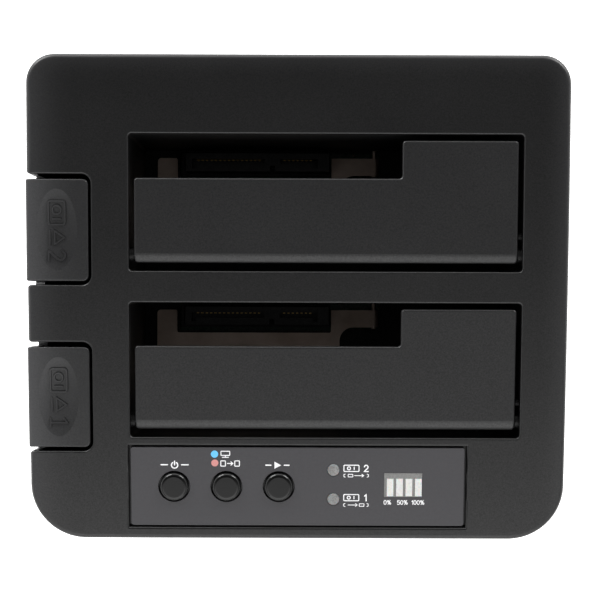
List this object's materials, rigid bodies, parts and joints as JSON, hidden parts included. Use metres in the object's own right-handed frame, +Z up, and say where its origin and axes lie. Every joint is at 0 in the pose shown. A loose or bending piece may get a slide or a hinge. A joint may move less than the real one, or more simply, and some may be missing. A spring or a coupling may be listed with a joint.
{
  "type": "drive duplicator",
  "caption": "Low black dock with a crowned top that takes bare drives upright in flapped wells beside eject caps, with a sloped panel of round buttons, lights and a progress gauge.",
  "frame": {"origin": "the middle of the footprint, on the plane the rubber feet rest on", "axes": "+Z up, +X to the right seen from the front, +Y to the back where the ports are"},
  "size_m": [0.1435, 0.1294, 0.0745],
  "materials": {
    "case_black": "fine matte texture",
    "base_black": "fine matte texture",
    "frame_black": "matte",
    "flap_black": "fine matte texture",
    "cap_black": "satin",
    "panel_grey": "smooth satin",
    "gloss_black": "glossy",
    "lens_grey": "frosted",
    "window_grey": "smooth",
    "bar_white": "frosted",
    "plate_steel": "dull, warm",
    "rocker_black": "matte",
    "bright_steel": "drawn",
    "spring_steel": "drawn wire",
    "screw_steel": "plated",
    "foot_rubber": "matte",
    "board_green": "solder mask",
    "chip_black": "matte",
    "coil_grey": "ferrite",
    "capacitor_metal": "bright",
    "part_tan": "matte",
    "port_metal": "nickel",
    "connector_black": "moulded",
    "contact_gold": "gold plated",
    "switch_black": "matte",
    "led_white": "clear over white",
    "header_white": "natural",
    "ribbon_grey": "soft"
  },
  "bodies": {
    "housing": {"base_tray": "base_black", "bay_frame_1": "frame_black", "bay_frame_2": "frame_black", "bay_lights": "lens_grey", "bay_screws": "screw_steel", "board_capacitors": "capacitor_metal", "board_coils": "coil_grey", "board_header": "header_white", "board_screws": "screw_steel", "board_small_parts": "part_tan", "bridge_chip": "chip_black", "button_switches": "switch_black", "case_screws": "screw_steel", "control_panel": "panel_grey", "controller_chip": "chip_black", "data_port": "port_metal", "data_port_tongue": "connector_black", "drive_connector_1": "connector_black", "drive_connector_2": "connector_black", "drive_contacts_1": "contact_gold", "drive_contacts_2": "contact_gold", "eject_spring_1": "spring_steel", "eject_spring_2": "spring_steel", "flap_rod_1": "bright_steel", "flap_rod_2": "bright_steel", "flap_spring_1": "spring_steel", "flap_spring_2": "spring_steel", "indicator_leds": "led_white", "main_board": "board_green", "panel_board": "board_green", "panel_board_screws": "screw_steel", "panel_header": "header_white", "plate_pin_1": "plate_steel", "plate_pin_2": "plate_steel", "power_jack": "connector_black", "power_jack_pin": "contact_gold", "progress_bars": "bar_white", "progress_window": "window_grey", "ribbon_cable": "ribbon_grey", "rocker_pin_1": "bright_steel", "rocker_pin_2": "bright_steel", "rubber_feet": "foot_rubber", "top_cover": "case_black"},
    "flap_2": {"slot_flap_2": "flap_black"},
    "eject_cap_2": {"eject_button_2": "cap_black"},
    "rocker_2": {"eject_rocker_2": "rocker_black"},
    "plate_2": {"ejector_plate_2": "plate_steel"},
    "flap_1": {"slot_flap_1": "flap_black"},
    "eject_cap_1": {"eject_button_1": "cap_black"},
    "rocker_1": {"eject_rocker_1": "rocker_black"},
    "plate_1": {"ejector_plate_1": "plate_steel"},
    "power_key": {"power_button": "gloss_black"},
    "mode_key": {"mode_button": "gloss_black"},
    "start_key": {"start_button": "gloss_black"}
  },
  "joints": [
    {"name": "flap_2_hinge", "type": "hinge", "parent": "housing", "child": "flap_2", "pos_m": [0.00695, 0.0119, 0.06626], "axis": [-1, 0, 0], "range_deg": [0, 95], "stiffness_Nm_per_rad": 0.012, "springref_deg": -34.38, "deforming": ["flap_spring_2"]},
    {"name": "eject_2_press", "type": "slide", "parent": "housing", "child": "eject_cap_2", "axis": [0, 0, -1], "range_m": [0, 0.004], "stiffness_N_per_m": 500, "springref_m": -0.003, "deforming": ["eject_spring_2"]},
    {"name": "rocker_2_tilt", "type": "hinge", "parent": "housing", "child": "rocker_2", "pos_m": [-0.051, 0.0184, 0.0147], "axis": [0, -1, 0], "range_deg": [0, 20.84]},
    {"name": "plate_2_lift", "type": "hinge", "parent": "housing", "child": "plate_2", "pos_m": [0.0222, 0.0392, 0.0161], "axis": [0, 1, 0], "range_deg": [0, 3.64]},
    {"name": "flap_1_hinge", "type": "hinge", "parent": "housing", "child": "flap_1", "pos_m": [0.00695, -0.0325, 0.06066], "axis": [-1, 0, 0], "range_deg": [0, 97], "stiffness_Nm_per_rad": 0.012, "springref_deg": -34.38, "deforming": ["flap_spring_1"]},
    {"name": "eject_1_press", "type": "slide", "parent": "housing", "child": "eject_cap_1", "axis": [0, 0, -1], "range_m": [0, 0.004], "stiffness_N_per_m": 500, "springref_m": -0.003, "deforming": ["eject_spring_1"]},
    {"name": "rocker_1_tilt", "type": "hinge", "parent": "housing", "child": "rocker_1", "pos_m": [-0.051, -0.026, 0.0147], "axis": [0, -1, 0], "range_deg": [0, 20.84]},
    {"name": "plate_1_lift", "type": "hinge", "parent": "housing", "child": "plate_1", "pos_m": [0.0222, -0.0052, 0.0161], "axis": [0, 1, 0], "range_deg": [0, 3.64]},
    {"name": "power_press", "type": "slide", "parent": "housing", "child": "power_key", "axis": [0, 0.1595, -0.9872], "range_m": [0, 0.0005], "stiffness_N_per_m": 500, "springref_m": -0.001},
    {"name": "mode_press", "type": "slide", "parent": "housing", "child": "mode_key", "axis": [0, 0.1595, -0.9872], "range_m": [0, 0.0005], "stiffness_N_per_m": 500, "springref_m": -0.001},
    {"name": "start_press", "type": "slide", "parent": "housing", "child": "start_key", "axis": [0, 0.1595, -0.9872], "range_m": [0, 0.0005], "stiffness_N_per_m": 500, "springref_m": -0.001}
  ],
  "couplings": [
    {"joint": "rocker_2_tilt", "follows": "eject_2_press", "rad_per_m": 90.909},
    {"joint": "plate_2_lift", "follows": "eject_2_press", "rad_per_m": 15.86},
    {"joint": "rocker_1_tilt", "follows": "eject_1_press", "rad_per_m": 90.909},
    {"joint": "plate_1_lift", "follows": "eject_1_press", "rad_per_m": 15.86}
  ]
}
